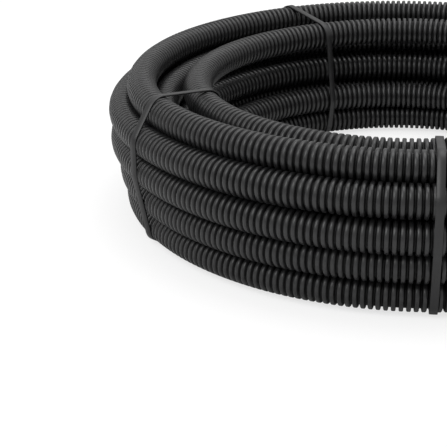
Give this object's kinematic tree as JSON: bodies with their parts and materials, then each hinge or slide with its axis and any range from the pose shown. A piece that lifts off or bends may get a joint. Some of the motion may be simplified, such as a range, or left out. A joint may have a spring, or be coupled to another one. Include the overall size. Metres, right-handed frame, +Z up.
{
  "type": "corrugated conduit coil",
  "caption": "Round strapped coil of black corrugated plastic conduit lying flat, with two hollow free ends.",
  "frame": {"origin": "middle of the coil's eye, on the surface that it lies on", "axes": "+Z up the coil's axis, -Y towards the front strap"},
  "size_m": [0.511, 0.512, 0.1428],
  "materials": {
    "conduit": "satin black extruded plastic",
    "strap": "smooth black nylon"
  },
  "bodies": {
    "root": {"conduit_coil": "conduit", "conduit_end_outer": "conduit", "conduit_end_inner": "conduit", "strap_front": "strap", "strap_left": "strap", "strap_back": "strap", "strap_right": "strap"}
  },
  "joints": []
}
